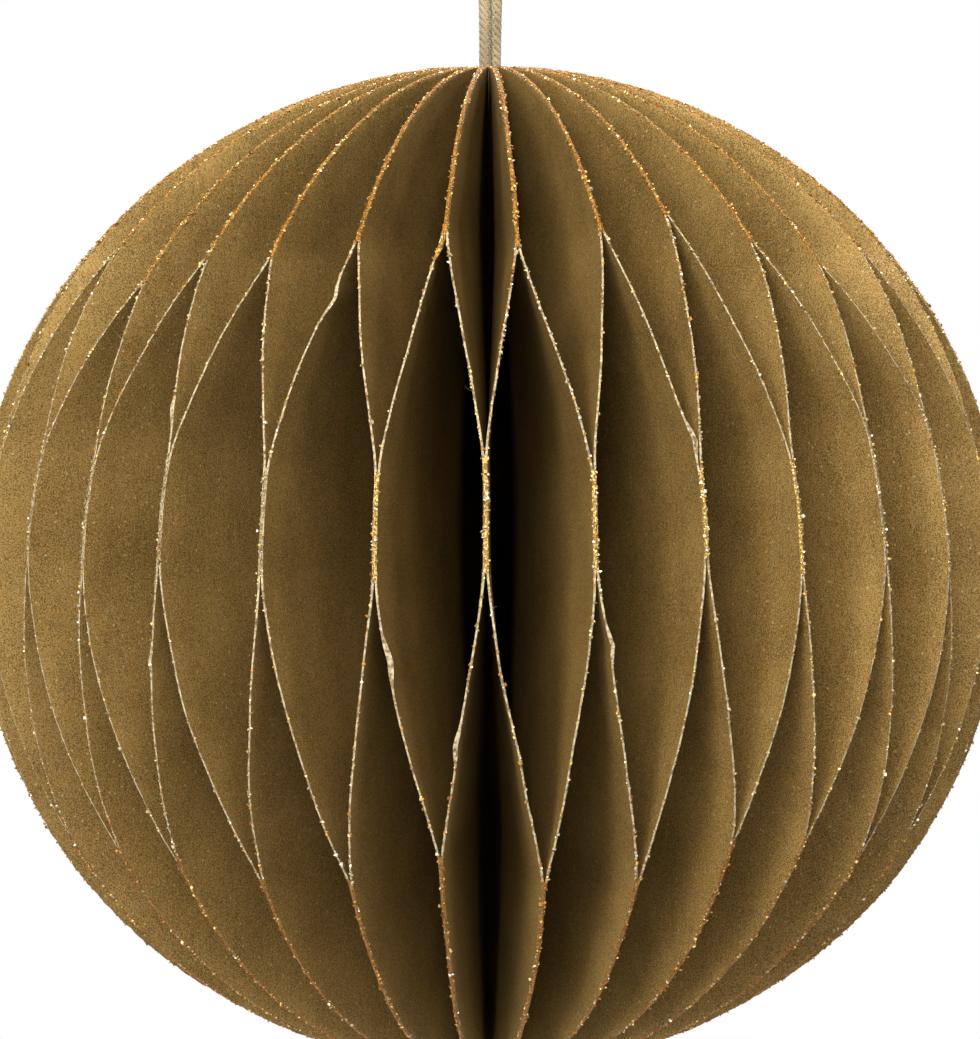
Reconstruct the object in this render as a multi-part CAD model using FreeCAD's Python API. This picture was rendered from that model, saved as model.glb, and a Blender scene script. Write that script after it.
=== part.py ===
"""Folded paper ball ornament: card leaves in a honeycomb round a hanging cord.

Millimetres, +Z up, origin at the centre of the ball, front towards -Y.
Every leaf is half an oval of card. Its straight edge stands in a ring round
the hollow core, and each level line on it runs straight from that ring to the
rim. Leaves are glued in pairs along a band near the middle, and each leaf is
glued to its other neighbour above and below, so the rims open into cells.
"""
import FreeCAD
import Part
import math
import os
from collections import namedtuple

# Ball
ball_diameter = 100.0
ball_height = 97.0
leaf_pairs = 29
leaf_tip_width = 0.8

# Card and glue
card_thickness = 0.28
glue_gap = 0.02

# Glued bands, as heights above the centre of the ball
middle_band_low = 2.8
middle_band_high = 12.5
upper_band_low = 31.0
lower_band_high = -24.0
swing_power = 1.3

# Level rows of points on a leaf, from one end of each zone to the other
polar_rows = 6
open_rows = 5
middle_rows = 2

# Joins that face the front, from left to right: azimuths in degrees from -Y,
# and how far the ends of their glued bands lie above their usual heights.
# The rest of the ring is evenly spaced, with its bands at the usual heights.
MIDDLE_AZIMUTHS = (-57.9, -47.2, -36.0, -23.7, -11.6, -0.4, 10.8, 22.4, 33.7, 45.6, 57.6)
MIDDLE_LOW_SHIFTS = (0.0, -1.1, 0.5, -0.5, -0.5, 0.7, 0.1, 1.2, -0.6, 0.3, -1.5)
MIDDLE_HIGH_SHIFTS = (0.0, -0.5, 0.3, -1.0, -0.9, 0.4, -0.6, -0.9, -0.1, 2.4, 3.0)
UPPER_AZIMUTHS = (-50.6, -40.8, -29.9, -18.1, -6.0, 3.8, 15.7, 26.6, 39.0, 49.7)
UPPER_SHIFTS = (-3.0, -1.0, -1.0, 0.5, 1.5, 0.0, 1.5, 3.0, 0.5, -1.5)
LOWER_AZIMUTHS = (-51.6, -40.9, -28.8, -16.9, -5.6, 6.6, 18.0, 29.4, 40.1, 52.6)
LOWER_SHIFTS = (0.0, -0.5, -1.5, -1.0, 1.5, -1.0, -1.0, 2.5, 2.0, -0.5)

# Cord and knot
cord_diameter = 1.0
cord_leg_gap = 0.06
knot_width = 6.8
knot_height = 5.6
knot_round = 1.5
tail_length = 7.0
tail_spread = 14.0

# Loop over the ball: x, and height above the ball's top. Both ends of this
# route run straight down through the core to the knot.
LOOP_ROUTE = ((-1.9, 25.5), (-3.8, 38.0), (-4.4, 45.0), (-2.6, 50.5), (2.7, 50.8),
              (4.5, 45.3), (3.7, 38.2), (1.8, 25.2))
loop_left_foot = 9.5
loop_right_foot = 9.2

radius = ball_diameter / 2
half_height = ball_height / 2
leaf_count = 2 * leaf_pairs
leaf_pitch = card_thickness + glue_gap
spine_radius = leaf_pitch / (2 * math.sin(math.pi / leaf_count))
front_join = len(MIDDLE_AZIMUTHS) // 2
spine_start = MIDDLE_AZIMUTHS[front_join] - front_join * 360.0 / leaf_pairs
cord_leg_offset = (cord_diameter + cord_leg_gap) / 2
tip_height = half_height * math.sqrt(1 - ((spine_radius + leaf_tip_width) / radius) ** 2)


def vec(x, y, z):
    return FreeCAD.Vector(x, y, z)


def save(name, shape):
    if not shape.isValid():
        raise ValueError(name + " is not a valid solid")
    shape.exportStep(os.path.join("parts", name + ".step"))
    box = shape.BoundBox
    print("%-14s %9.2f mm3  z %.2f to %.2f" % (name, shape.Volume, box.ZMin, box.ZMax))


# Ring of joins

# What one leaf is glued to. Side is +1 on a leaf that lies after its middle
# join and before its outer joins, and -1 on one before its middle join.
LeafPlan = namedtuple("LeafPlan", "side middle low high upper upper_low lower lower_high")


def ring(front):
    """Azimuths round the ball: the front ones, then the rest evenly."""
    rest = leaf_pairs - len(front)
    step = (front[0] + 360.0 - front[-1]) / (rest + 1)
    return list(front) + [front[-1] + step * (i + 1) for i in range(rest)]


def shifted(usual_height, shifts, index):
    return usual_height + (shifts[index] if index < len(shifts) else 0.0)


def leaf_plans():
    middles = ring(MIDDLE_AZIMUTHS)
    middles.append(middles[0] + 360.0)
    plans = []
    for index in range(leaf_pairs):
        between = (middles[index] + middles[index + 1]) / 2
        facing_front = index < len(UPPER_AZIMUTHS)
        upper = UPPER_AZIMUTHS[index] if facing_front else between
        lower = LOWER_AZIMUTHS[index] if facing_front else between
        upper_low = shifted(upper_band_low, UPPER_SHIFTS, index)
        lower_high = shifted(lower_band_high, LOWER_SHIFTS, index)
        for side, join in ((1, index), (-1, index + 1)):
            low = shifted(middle_band_low, MIDDLE_LOW_SHIFTS, join % leaf_pairs)
            high = shifted(middle_band_high, MIDDLE_HIGH_SHIFTS, join % leaf_pairs)
            plans.append(LeafPlan(side, middles[join], low, high,
                                  upper, upper_low, lower, lower_high))
    return plans


# Leaves

def rim_radius(z):
    return radius * math.sqrt(1 - (z / half_height) ** 2)


def spread(z_from, z_to, count):
    """Heights from z_from to z_to, at even angles along the oval rim."""
    start = math.asin(z_from / half_height)
    step = (math.asin(z_to / half_height) - start) / count
    return [half_height * math.sin(start + step * i) for i in range(1, count + 1)]


def leaf_rows(plan):
    rows = [-tip_height]
    rows += spread(-tip_height, plan.lower_high, polar_rows)
    rows += spread(plan.lower_high, plan.low, open_rows)
    rows += spread(plan.low, plan.high, middle_rows)
    rows += spread(plan.high, plan.upper_low, open_rows)
    rows += spread(plan.upper_low, tip_height, polar_rows)
    return rows


def swing(z, plan):
    """0 where a leaf is glued at its middle join, 1 at its outer joins."""
    if z > plan.high:
        share = (z - plan.high) / (plan.upper_low - plan.high)
    elif z < plan.low:
        share = (plan.low - z) / (plan.low - plan.lower_high)
    else:
        return 0.0
    return min(1.0, share) ** swing_power


def around(distance, degrees):
    """Point in plan and the direction of growing azimuth there."""
    angle = math.radians(degrees)
    outward = vec(math.sin(angle), -math.cos(angle), 0)
    along = vec(math.cos(angle), math.sin(angle), 0)
    return outward * distance, along


def leaf_sections(index, plan):
    """Four corners of the leaf's level section at each of its rows."""
    slot = spine_start + (index + 0.5) * 360.0 / leaf_count
    spine, spine_along = around(spine_radius, slot)
    sections = []
    for z in leaf_rows(plan):
        outer = plan.upper if z > plan.low else plan.lower
        share = swing(z, plan)
        edge, along = around(radius, plan.middle + (outer - plan.middle) * share)
        edge += along * plan.side * (1 - 2 * share) * leaf_pitch / 2
        rim = spine + (edge - spine) * ((rim_radius(z) - spine_radius) / (radius - spine_radius))
        level = vec(0, 0, z)
        half = card_thickness / 2
        sections.append([spine - spine_along * half + level, spine + spine_along * half + level,
                         rim + along * half + level, rim - along * half + level])
    return sections


def triangle(a, b, c):
    return Part.Face(Part.makePolygon([a, b, c, a]))


def leaf_solid(index, plan):
    """Flat facets between the level sections, closed at the two tips.

    Both sides are split along the same diagonals, which keeps the card's
    thickness where the leaf twists.
    """
    sections = leaf_sections(index, plan)
    faces = []
    for below, above in zip(sections, sections[1:]):
        for i in range(4):
            k = (i + 1) % 4
            if i < 2:
                faces.append(triangle(below[i], below[k], above[k]))
                faces.append(triangle(below[i], above[k], above[i]))
            else:
                faces.append(triangle(below[i], below[k], above[i]))
                faces.append(triangle(below[k], above[k], above[i]))
    for end in (sections[0], sections[-1]):
        faces.append(triangle(end[0], end[1], end[2]))
        faces.append(triangle(end[0], end[2], end[3]))
    shell = Part.makeShell(faces)
    shell.sewShape()
    solid = Part.makeSolid(shell)
    if solid.Volume < 0:
        solid.reverse()
    return solid


# Cord

def cord_points():
    """The cord's route from the knot, over the loop and back to the knot."""
    feet = ((-cord_leg_offset, loop_left_foot), (cord_leg_offset, loop_right_foot))
    loop = [feet[0]] + list(LOOP_ROUTE) + [feet[1]]
    points = [vec(x, 0, half_height + z) for x, z in loop]
    first = vec(-cord_leg_offset, 0, -half_height)
    last = vec(cord_leg_offset, 0, -half_height)
    return [first] + points + [last]


def rounded_path(points):
    """Straight runs joined by tangent arcs, each as large as its runs allow."""
    edges = []
    start = points[0]
    for before, corner, after in zip(points, points[1:], points[2:]):
        back = before - corner
        ahead = after - corner
        run = min(back.Length, ahead.Length)
        back.normalize()
        ahead.normalize()
        half_turn = (math.pi - back.getAngle(ahead)) / 2
        setback = 0.45 * run
        bend = setback / math.tan(half_turn)
        enter = corner + back * setback
        leave = corner + ahead * setback
        inward = (back + ahead)
        inward.normalize()
        centre = corner + inward * math.hypot(bend, setback)
        middle = centre - inward * bend
        edges.append(Part.LineSegment(start, enter).toShape())
        edges.append(Part.Arc(enter, middle, leave).toShape())
        print("cord turn %5.1f degrees, radius %6.1f mm" % (math.degrees(2 * half_turn), bend))
        start = leave
    edges.append(Part.LineSegment(start, points[-1]).toShape())
    return Part.Wire(edges)


def cord_solid():
    points = cord_points()
    path = rounded_path(points)
    ring = Part.makeCircle(cord_diameter / 2, points[0], points[1] - points[0])
    tube = path.makePipeShell([Part.Wire([ring])], True, False)
    section = math.pi * cord_diameter ** 2 / 4
    print("cord length %.1f mm, volume over section times length %.4f"
          % (path.Length, tube.Volume / (section * path.Length)))
    return tube


def tail_solid(side):
    """One cut end of the cord, leaning out from the foot of the knot."""
    lean = math.radians(tail_spread)
    direction = vec(side * math.sin(lean), 0, -math.cos(lean))
    start = vec(side * cord_leg_offset, 0, -half_height - knot_height / 2)
    return Part.makeCylinder(cord_diameter / 2, knot_height / 2 + tail_length, start, direction)


def knot_solid():
    """Barrel of tightened turns with rounded rims, and the cord's two ends."""
    foot = vec(0, 0, -half_height - knot_height)
    barrel = Part.makeCylinder(knot_width / 2, knot_height, foot)
    rims = [edge for edge in barrel.Edges if isinstance(edge.Curve, Part.Circle)]
    barrel = barrel.makeFillet(knot_round, rims)
    return barrel.fuse([tail_solid(-1), tail_solid(1)]).removeSplitter()


def main():
    os.makedirs("parts", exist_ok=True)
    print("spine radius %.3f mm, tips at %.2f mm" % (spine_radius, tip_height))
    for index, plan in enumerate(leaf_plans()):
        save("leaf_%02d" % (index + 1), leaf_solid(index, plan))
    save("hanging_cord", cord_solid())
    save("end_knot", knot_solid())


main()
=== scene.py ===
"""Folded paper ball: card leaves in a honeycomb with glitter along their cut edges, on a braided cord.

Metres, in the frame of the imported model: +Z up, front towards -Y, origin at the centre of the ball.
"""
import bpy
import math
import numpy as np
from collections import namedtuple
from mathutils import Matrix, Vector


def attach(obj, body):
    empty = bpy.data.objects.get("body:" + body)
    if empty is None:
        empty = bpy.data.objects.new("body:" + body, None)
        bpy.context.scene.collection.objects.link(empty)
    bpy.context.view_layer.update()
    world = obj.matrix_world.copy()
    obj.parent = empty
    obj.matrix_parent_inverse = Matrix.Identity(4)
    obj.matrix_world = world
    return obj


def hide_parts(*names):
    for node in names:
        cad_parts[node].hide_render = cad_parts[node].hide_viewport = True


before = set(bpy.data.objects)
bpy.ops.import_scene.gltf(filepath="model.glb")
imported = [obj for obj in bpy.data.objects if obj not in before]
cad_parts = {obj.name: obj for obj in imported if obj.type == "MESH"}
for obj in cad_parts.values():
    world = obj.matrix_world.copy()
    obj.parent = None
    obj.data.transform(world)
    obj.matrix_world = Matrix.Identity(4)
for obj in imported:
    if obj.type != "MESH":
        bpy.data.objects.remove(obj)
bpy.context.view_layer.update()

bl_info = {
    "name": "Folded paper ball",
    "version": (1, 0, 0),
    "blender": (4, 5, 0),
    "location": "3D View > Sidebar > Paper ball",
    "description": "Builds the leaves, glitter, cord and knot of a hanging paper ball",
    "category": "Object",
}

MM = 0.001
LEAF_NAMES = sorted(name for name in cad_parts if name.startswith("leaf_"))
PAIRS = len(LEAF_NAMES) // 2


def linear(hex_colour):
    """Linear colour of an sRGB hex value."""
    parts = [int(hex_colour[i:i + 2], 16) / 255 for i in (1, 3, 5)]
    return tuple(c / 12.92 if c <= 0.04045 else ((c + 0.055) / 1.055) ** 2.4 for c in parts)


# What a user would change

def length_property(name, description, default):
    return bpy.props.FloatProperty(name=name, description=description, default=default, min=0.0,
                                   precision=5, unit="LENGTH")


def colour_property(name, description, hex_colour):
    return bpy.props.FloatVectorProperty(name=name, description=description, default=linear(hex_colour),
                                         size=3, min=0.0, max=1.0, subtype="COLOR")


class PaperBallSizes(bpy.types.PropertyGroup):
    card_thickness: length_property("Card", "Thickness of the card", 0.28 * MM)
    edge_waver: length_property("Edge waver", "How far a glued edge strays from its true line", 0.09 * MM)
    rim_width: length_property("Rim width", "Thickness of the card where the blade pressed it", 0.17 * MM)
    grain_small: length_property("Smallest grain", "Width of the finest glitter grains", 0.15 * MM)
    grain_large: length_property("Largest grain", "Width of the coarsest glitter grains", 0.44 * MM)
    cord_diameter: length_property("Cord", "Diameter of the braided cord", 1.0 * MM)
    braid_lead: length_property("Braid lead", "Length in which a strand goes once round the cord", 4.2 * MM)
    fuzz_length: length_property("Fuzz", "Length of the longest loose fibres on the cord", 0.65 * MM)
    floor_drop: length_property("Floor", "How far the floor lies below the centre of the ball", 0.75)


class PaperBallColours(bpy.types.PropertyGroup):
    card_dark: colour_property("Card, dark", "Darker pigment of the coated card", "#463617")
    card_light: colour_property("Card, light", "Lighter pigment of the coated card", "#83693b")
    card_warm: colour_property("Card, warm", "Coppery flakes in the coating", "#755423")
    # A painted glint: pale specks where single mica flakes face the eye.
    card_painted_glint: colour_property("Card, painted glints", "Pale specks, painted glints of flakes that face the eye", "#a29064")
    cut_edge: colour_property("Cut edge", "White core of the card where it was cut", "#968a6c")
    cut_edge_stain: colour_property("Cut edge, stained", "Core stained by the coating", "#564224")
    gold_glue: colour_property("Gold glue", "Glue under the gold glitter", "#655028")
    copper_glue: colour_property("Copper glue", "Glue under the copper glitter", "#5a3d18")
    copper_dust: colour_property("Copper dust", "Dull dust in the glue of the lower joins", "#86643a")
    bare_glue: colour_property("Bare glue", "White glue that dried without glitter", "#5e5034")
    pale_gold: colour_property("Pale gold", "Lightest glitter", "#c8ab68")
    deep_gold: colour_property("Deep gold", "Darker glitter", "#a3742f")
    copper: colour_property("Copper", "Reddest glitter", "#844c22")
    # A painted glint: nearly white grains among the glitter stand in for its highlights.
    glitter_painted_glint: colour_property("Glitter, painted glint", "Nearly white grains, a painted glint of the glitter", "#dcd6c4")
    cord_light: colour_property("Cord, light", "Outer fibres of the cord", "#877654")
    # Painted shade: the cotton's shaded tone, mixed into the cord in patches.
    cord_painted_shade: colour_property("Cord, painted shade", "Shaded tone of the cotton, painted in patches", "#6c5c40")


# Materials

def add_node(tree, kind, settings=None, links=None):
    """Adds a node. A lower-case setting is one of its own values, any other is one of its sockets."""
    node = tree.nodes.new(kind)
    for name, value in (settings or {}).items():
        if isinstance(name, str) and name.islower():
            setattr(node, name, value)
        else:
            node.inputs[name].default_value = value
    for name, output in (links or {}).items():
        tree.links.new(output, node.inputs[name])
    return node


def opaque(colour):
    return (*colour, 1.0)


def per_mm(size_mm):
    """Texture scale that gives features of this size."""
    return 1.0 / (size_mm * MM)


def new_material(name):
    """A material with an empty Principled shader, and its place on the object for its patterns."""
    material = bpy.data.materials.get(name)
    if material:
        return material, None, None, None
    material = bpy.data.materials.new(name)
    material.use_nodes = True
    tree = material.node_tree
    tree.nodes.clear()
    shader = add_node(tree, "ShaderNodeBsdfPrincipled")
    add_node(tree, "ShaderNodeOutputMaterial", links={"Surface": shader.outputs["BSDF"]})
    place = add_node(tree, "ShaderNodeTexCoord").outputs["Object"]
    return material, tree, shader, place


def pearl_card():
    """Coated card: cotton-fibre card with a brushed coat of mica pigment, dried matt.

    The mica gives the eye a soft bronze gloss and a fine pale and dark speckle, with brighter specks
    painted in as glints of single flakes; the fibres under it show as faint upright streaks.
    """
    colours = bpy.context.scene.paper_ball_colours
    material, tree, shader, place = new_material("Mica-coated card")
    if tree is None:
        return material
    # Clouds of thicker and thinner coating, 9 mm across.
    clouds = add_node(tree, "ShaderNodeTexNoise", {"Scale": per_mm(9.0), "Detail": 3.0, "Roughness": 0.55},
                      {"Vector": place})
    # Fibres lie upright in the card, 0.35 mm wide and some 3 mm long.
    upright = add_node(tree, "ShaderNodeMapping", {"Scale": (1.0, 1.0, 0.13)}, {"Vector": place})
    fibres = add_node(tree, "ShaderNodeTexNoise", {"Scale": per_mm(0.35), "Detail": 2.0},
                      {"Vector": upright.outputs["Vector"]})
    # Mica flakes are 0.05 mm, drawn 0.12 mm wide so that they show.
    flakes = add_node(tree, "ShaderNodeTexNoise", {"Scale": per_mm(0.12), "Detail": 1.0, "Roughness": 0.6},
                      {"Vector": place})
    coat = add_node(tree, "ShaderNodeMath", {"operation": "MULTIPLY_ADD", 1: 0.28},
                    {0: clouds.outputs["Fac"], 2: flakes.outputs["Fac"]})
    summed = add_node(tree, "ShaderNodeMath", {"operation": "MULTIPLY_ADD", 1: 0.12},
                      {0: fibres.outputs["Fac"], 2: coat.outputs[0]})
    share = add_node(tree, "ShaderNodeMapRange", {"From Min": 0.575, "From Max": 0.825},
                     {"Value": summed.outputs[0]})
    base = add_node(tree, "ShaderNodeMix", {"data_type": "RGBA", 6: opaque(colours.card_dark),
                                            7: opaque(colours.card_light)}, {0: share.outputs["Result"]})
    # Coppery flakes lie among the olive ones, in drifts of 1 mm that break up into single flakes.
    drifts = add_node(tree, "ShaderNodeTexNoise", {"Scale": per_mm(1.0), "Detail": 4.0, "Roughness": 0.9},
                      {"Vector": place})
    warm = add_node(tree, "ShaderNodeMapRange", {"From Min": 0.46, "From Max": 0.70, "To Max": 0.5},
                    {"Value": drifts.outputs["Fac"]})
    tinted = add_node(tree, "ShaderNodeMix", {"data_type": "RGBA", 7: opaque(colours.card_warm)},
                      {0: warm.outputs["Result"], 6: base.outputs[2]})
    # Painted glints: single flakes that face the eye, one in a square millimetre or two, 0.15 mm wide.
    single = add_node(tree, "ShaderNodeTexVoronoi", {"Scale": per_mm(1.1), "Randomness": 1.0},
                      {"Vector": place})
    near = add_node(tree, "ShaderNodeMapRange",
                    {"From Min": 0.05, "From Max": 0.13, "To Min": 0.7, "To Max": 0.0},
                    {"Value": single.outputs["Distance"]})
    with_painted_glints = add_node(tree, "ShaderNodeMix", {"data_type": "RGBA", 7: opaque(colours.card_painted_glint)},
                       {0: near.outputs["Result"], 6: tinted.outputs[2]})
    tree.links.new(with_painted_glints.outputs[2], shader.inputs["Base Color"])
    rough = add_node(tree, "ShaderNodeMapRange",
                     {"From Min": 0.3, "From Max": 0.7, "To Min": 0.65, "To Max": 0.45},
                     {"Value": flakes.outputs["Fac"]})
    tree.links.new(rough.outputs["Result"], shader.inputs["Roughness"])
    shader.inputs["Metallic"].default_value = 0.2
    shader.inputs["Specular IOR Level"].default_value = 0.35
    # Mica reflects a golden light of its own.
    shader.inputs["Specular Tint"].default_value = opaque(linear("#e9d2a6"))
    grain = add_node(tree, "ShaderNodeBump", {"Strength": 0.5, "Distance": 0.03 * MM},
                     {"Height": flakes.outputs["Fac"]})
    tree.links.new(grain.outputs["Normal"], shader.inputs["Normal"])
    return material


def cut_core():
    """Card core: bleached pulp, cut with a blade.

    It gives the eye a matt cream line, stained here and there.
    """
    colours = bpy.context.scene.paper_ball_colours
    material, tree, shader, place = new_material("Cut card core")
    if tree is None:
        return material
    # Stains of coating dragged over the cut, 0.2 to 0.8 mm long.
    stains = add_node(tree, "ShaderNodeTexNoise", {"Scale": per_mm(0.5), "Detail": 3.0, "Roughness": 0.75},
                      {"Vector": place})
    share = add_node(tree, "ShaderNodeMapRange", {"From Min": 0.44, "From Max": 0.62},
                     {"Value": stains.outputs["Fac"]})
    base = add_node(tree, "ShaderNodeMix",
                    {"data_type": "RGBA", 6: opaque(colours.cut_edge), 7: opaque(colours.cut_edge_stain)},
                    {0: share.outputs["Result"]})
    tree.links.new(base.outputs[2], shader.inputs["Base Color"])
    shader.inputs["Roughness"].default_value = 0.85
    # Pulp fibres stand up 0.02 mm, 0.15 mm apart.
    pulp = add_node(tree, "ShaderNodeTexNoise", {"Scale": per_mm(0.15), "Detail": 2.0}, {"Vector": place})
    nap = add_node(tree, "ShaderNodeBump", {"Strength": 0.6, "Distance": 0.02 * MM},
                   {"Height": pulp.outputs["Fac"]})
    tree.links.new(nap.outputs["Normal"], shader.inputs["Normal"])
    return material


def glued_edge(name, glue_colour, dust_colour):
    """Craft glue, brushed on and dusted with fine glitter.

    It gives the eye a semi-gloss coloured line with brighter points.
    """
    material, tree, shader, place = new_material(name)
    if tree is None:
        return material
    # Glitter dust of 0.1 mm in the glue, drawn 0.2 mm wide.
    dust = add_node(tree, "ShaderNodeTexNoise", {"Scale": per_mm(0.2), "Detail": 2.0, "Roughness": 0.7},
                    {"Vector": place})
    share = add_node(tree, "ShaderNodeMapRange", {"From Min": 0.46, "From Max": 0.60},
                     {"Value": dust.outputs["Fac"]})
    base = add_node(tree, "ShaderNodeMix",
                    {"data_type": "RGBA", 6: opaque(glue_colour), 7: opaque(dust_colour)},
                    {0: share.outputs["Result"]})
    tree.links.new(base.outputs[2], shader.inputs["Base Color"])
    shader.inputs["Metallic"].default_value = 0.3
    shader.inputs["Roughness"].default_value = 0.65
    shader.inputs["Specular IOR Level"].default_value = 0.35
    shader.inputs["Specular Tint"].default_value = opaque(linear("#e6b67c"))
    beads = add_node(tree, "ShaderNodeBump", {"Strength": 1.0, "Distance": 0.08 * MM},
                     {"Height": dust.outputs["Fac"]})
    tree.links.new(beads.outputs["Normal"], shader.inputs["Normal"])
    return material


def glitter_foil(name, colour):
    """Glitter: aluminised film, lacquered and die-cut.

    Each grain gives the eye one or two bright facets.
    """
    material, tree, shader, place = new_material(name)
    if tree is None:
        return material
    # Lacquer scuffs of 0.1 mm.
    scuffs = add_node(tree, "ShaderNodeTexNoise", {"Scale": per_mm(0.1), "Detail": 1.0}, {"Vector": place})
    rough = add_node(tree, "ShaderNodeMapRange", {"To Min": 0.28, "To Max": 0.6},
                     {"Value": scuffs.outputs["Fac"]})
    tree.links.new(rough.outputs["Result"], shader.inputs["Roughness"])
    shader.inputs["Base Color"].default_value = opaque(colour)
    shader.inputs["Metallic"].default_value = 0.7
    return material


def braided_cotton():
    """Cotton: spun yarns, braided.

    It gives the eye a matt cream, mixed in patches with a darker olive tone that is painted shade.
    """
    colours = bpy.context.scene.paper_ball_colours
    material, tree, shader, place = new_material("Braided cotton")
    if tree is None:
        return material
    # Fibres of the yarn, 0.05 mm apart, drawn 0.09 mm.
    yarn = add_node(tree, "ShaderNodeTexNoise", {"Scale": per_mm(0.09), "Detail": 2.0}, {"Vector": place})
    # Painted shade: the darker tone lies in patches of 1.5 mm along the yarn.
    shade_patches = add_node(tree, "ShaderNodeTexNoise", {"Scale": per_mm(1.5), "Detail": 2.0}, {"Vector": place})
    summed = add_node(tree, "ShaderNodeMath", {"operation": "ADD"},
                      {0: yarn.outputs["Fac"], 1: shade_patches.outputs["Fac"]})
    share = add_node(tree, "ShaderNodeMapRange", {"From Min": 0.75, "From Max": 1.2},
                     {"Value": summed.outputs[0]})
    # The cotton's colour, mixed with its painted shade by the fibre and patch noise.
    base = add_node(tree, "ShaderNodeMix", {"data_type": "RGBA", 6: opaque(colours.cord_painted_shade),
                                            7: opaque(colours.cord_light)}, {0: share.outputs["Result"]})
    tree.links.new(base.outputs[2], shader.inputs["Base Color"])
    shader.inputs["Roughness"].default_value = 0.9
    shader.inputs["Sheen Weight"].default_value = 0.3
    shader.inputs["Sheen Roughness"].default_value = 0.5
    nap = add_node(tree, "ShaderNodeBump", {"Strength": 0.4, "Distance": 0.02 * MM},
                   {"Height": yarn.outputs["Fac"]})
    tree.links.new(nap.outputs["Normal"], shader.inputs["Normal"])
    return material


def painted_board():
    """Emulsion paint, rolled on board: an even matt white that shows nothing but its light."""
    material, tree, shader, place = new_material("Matt white board")
    if tree is None:
        return material
    nap = add_node(tree, "ShaderNodeTexNoise", {"Scale": per_mm(3.0), "Detail": 2.0}, {"Vector": place})
    tone = add_node(tree, "ShaderNodeMapRange", {"To Min": 0.86, "To Max": 0.9},
                    {"Value": nap.outputs["Fac"]})
    tree.links.new(tone.outputs["Result"], shader.inputs["Base Color"])
    shader.inputs["Roughness"].default_value = 0.9
    return material


# Meshes

def new_piece(name, points, faces, materials, face_materials=None, smooth=True):
    """An object from an array of points and an array or list of faces."""
    points = np.asarray(points, dtype=np.float32).reshape(-1, 3)
    mesh = bpy.data.meshes.new(name)
    mesh.from_pydata(points.tolist(), [], faces.tolist() if isinstance(faces, np.ndarray) else faces)
    for material in materials:
        mesh.materials.append(material)
    if face_materials is not None:
        mesh.polygons.foreach_set("material_index", np.asarray(face_materials, dtype=np.int32))
    mesh.polygons.foreach_set("use_smooth", np.full(len(faces), smooth))
    mesh.update()
    piece = bpy.data.objects.new(name, mesh)
    bpy.context.scene.collection.objects.link(piece)
    return piece


def fit_to_root(piece):
    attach(piece, "root")
    return piece


# Leaves

# Rows of points on the CAD leaf at which its glued bands begin and end, counted from the lower tip.
LOWER_BAND_END = 6
MIDDLE_BAND = (11, 13)
UPPER_BAND_START = 18
CAD_ROWS = 25
SWING_POWER = 1.3

# Fine rows in each zone of a leaf: lower band, lower opening, middle band, upper opening, upper band.
ZONE_ROWS = (52, 32, 12, 26, 44)
LOWER, LOWER_OPEN, MIDDLE, UPPER_OPEN, UPPER = range(5)
# Columns of points from the core to the rim.
COLUMNS = np.array((0.0, 0.3, 0.55, 0.75, 0.9, 0.988, 1.0))

# Dents in single edges that the hand left: leaf, height, push sideways, length along the edge (mm),
# and how far the white core is torn open there (share of the card's thickness).
DENTS = (
    (7, 26.5, 0.50, 2.4, 0.6),
    (9, -4.8, 0.38, 3.2, 1.3),
    (4, -5.7, -0.28, 2.0, 0.7),
    (4, 16.7, -0.24, 1.8, 1.0),
    (13, -3.4, 0.34, 2.2, 0.7),
    (10, -12.3, -0.22, 2.4, 0.9),
    (14, 14.4, 0.42, 2.2, 1.1),
)

# How much of the card's thickness the cut edge of a glued leaf keeps: on the side of its join, and on
# the other side.
GLUED_RIM, OUTER_RIM = 1.07, 0.35
# How far the blade's nicks go into the cut edge.
NICK = 0.018 * MM
# The leaf bends towards its rim, a dent reaches further in than the pressed edge, and both fade inwards
# with these powers of the share of the way from the core to the rim.
BEND_POWER, DENT_POWER, PRESSED_POWER = 3, 14, 60

LeafShape = namedtuple("LeafShape", "z zone share spine spine_along rim rim_along rim_out reach")


def cad_rows(name):
    """Spine point, rim point and height of each row of the CAD leaf, from the lower tip up."""
    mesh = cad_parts[name].data
    points = np.zeros(len(mesh.vertices) * 3, dtype=np.float32)
    mesh.vertices.foreach_get("co", points)
    points = np.unique(np.round(points.reshape(-1, 3).astype(float), 7), axis=0)
    points = points[np.argsort(points[:, 2])]
    breaks = np.flatnonzero(np.diff(points[:, 2]) > 0.05 * MM) + 1
    rows = np.split(points, breaks)
    if len(rows) != CAD_ROWS:
        raise RuntimeError("%s has %d rows of points, not %d" % (name, len(rows), CAD_ROWS))
    spine, rim, heights = [], [], []
    for row in rows:
        row = row[np.argsort(np.hypot(row[:, 0], row[:, 1]))]
        half = len(row) // 2
        spine.append(row[:half, :2].mean(axis=0))
        rim.append(row[half:, :2].mean(axis=0))
        heights.append(row[:, 2].mean())
    return np.array(spine), np.array(rim), np.array(heights)


def middle_join(number):
    """The middle join of a leaf: the first leaf of a pair lies after it, and the second before the next."""
    return ((number - 1) // 2 + (number - 1) % 2) % PAIRS


def waver(z, seed, amount):
    """A slow hand-made wander along the height, the same for all that share its seed."""
    rng = np.random.default_rng(seed)
    total = np.zeros_like(z)
    for wave_mm, weight in ((34.0, 1.0), (19.0, 0.8), (10.5, 0.35), (5.7, 0.12), (2.9, 0.07)):
        total += weight * np.sin(2 * math.pi * (z / (wave_mm * MM) + rng.random()))
    return amount * total / 1.6


def eased(values):
    """The same run of values with its corners rounded over about 2 mm."""
    for _ in range(3):
        padded = np.concatenate((values[:1], values, values[-1:]))
        values = 0.25 * padded[:-2] + 0.5 * padded[1:-1] + 0.25 * padded[2:]
    return values


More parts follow.
